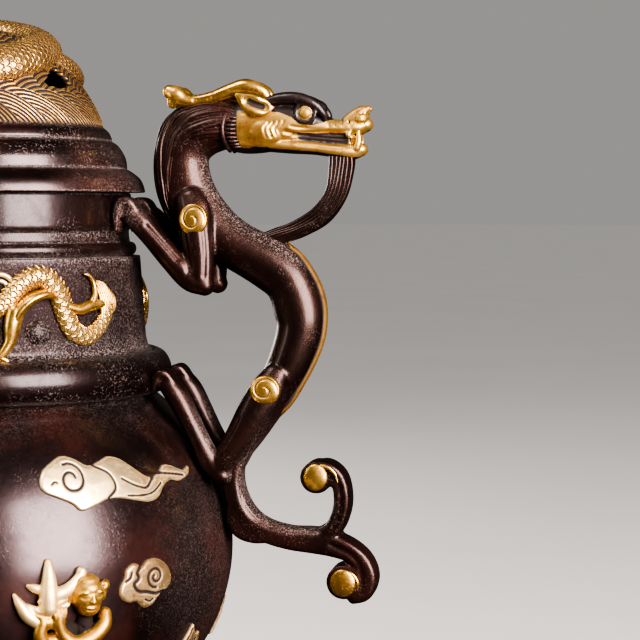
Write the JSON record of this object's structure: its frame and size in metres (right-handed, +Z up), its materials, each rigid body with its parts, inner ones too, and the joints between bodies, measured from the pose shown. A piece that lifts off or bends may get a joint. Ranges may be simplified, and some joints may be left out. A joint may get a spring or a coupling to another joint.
{
  "type": "lidded incense burner",
  "caption": "Round bronze incense burner on a spreading foot, with dragon handles, gilt reliefs and a pierced domed lid wrapped by a coiled dragon.",
  "frame": {"origin": "centre of the foot ring on the ground plane", "axes": "+Z up, +X toward the handle seen in the picture, the handles lie in the XZ plane, -Y is the front"},
  "size_m": [0.3874, 0.2386, 0.4054],
  "materials": {
    "bronze": "waxed dark brown patina",
    "bronze_dark": "waxed near-black patina",
    "gilt": "rubbed gilding",
    "pale_gilt": "pale gilding, polished flat",
    "copper": "dull copper"
  },
  "bodies": {
    "vessel": {"foot": "bronze", "bowl": "bronze", "neck": "bronze", "right_dragon_body": "bronze", "right_dragon_head": "gilt", "right_dragon_beard": "bronze_dark", "right_dragon_tail": "bronze_dark", "right_dragon_horn_a": "gilt", "right_dragon_fore_leg_a": "bronze_dark", "right_dragon_hind_leg_a": "bronze_dark", "right_dragon_fore_pin_a": "copper", "right_dragon_hind_pin_a": "copper", "right_dragon_horn_b": "gilt", "right_dragon_fore_leg_b": "bronze_dark", "right_dragon_hind_leg_b": "bronze_dark", "right_dragon_fore_pin_b": "copper", "right_dragon_hind_pin_b": "copper", "left_dragon_body": "bronze", "left_dragon_head": "gilt", "left_dragon_beard": "bronze_dark", "left_dragon_tail": "bronze_dark", "left_dragon_horn_a": "gilt", "left_dragon_fore_leg_a": "bronze_dark", "left_dragon_hind_leg_a": "bronze_dark", "left_dragon_fore_pin_a": "copper", "left_dragon_hind_pin_a": "copper", "left_dragon_horn_b": "gilt", "left_dragon_fore_leg_b": "bronze_dark", "left_dragon_hind_leg_b": "bronze_dark", "left_dragon_fore_pin_b": "copper", "left_dragon_hind_pin_b": "copper", "front_pearl": "gilt", "front_neck_dragon_a": "gilt", "front_long_cloud_a": "pale_gilt", "front_small_cloud_a": "pale_gilt", "front_bearer_a": "gilt", "front_rocks_a": "gilt", "front_neck_dragon_b": "gilt", "front_long_cloud_b": "pale_gilt", "front_small_cloud_b": "pale_gilt", "front_bearer_b": "gilt", "front_rocks_b": "gilt", "back_pearl": "gilt", "back_neck_dragon_a": "gilt", "back_long_cloud_a": "pale_gilt", "back_small_cloud_a": "pale_gilt", "back_bearer_a": "gilt", "back_rocks_a": "gilt", "back_neck_dragon_b": "gilt", "back_long_cloud_b": "pale_gilt", "back_small_cloud_b": "pale_gilt", "back_bearer_b": "gilt", "back_rocks_b": "gilt"},
    "lid": {"lid_rim": "bronze", "lid_dome": "gilt", "lid_dragon": "gilt"},
    "liner": {"ash_liner": "copper"}
  },
  "joints": [
    {"name": "lid_lift", "type": "slide", "parent": "vessel", "child": "lid", "axis": [0, 0, 1], "range_m": [0, 0.14]},
    {"name": "liner_lift", "type": "slide", "parent": "vessel", "child": "liner", "axis": [0, 0, 1], "range_m": [0, 0.077]}
  ],
  "couplings": [
    {"joint": "liner_lift", "follows": "lid_lift", "ratio": 0.55}
  ]
}
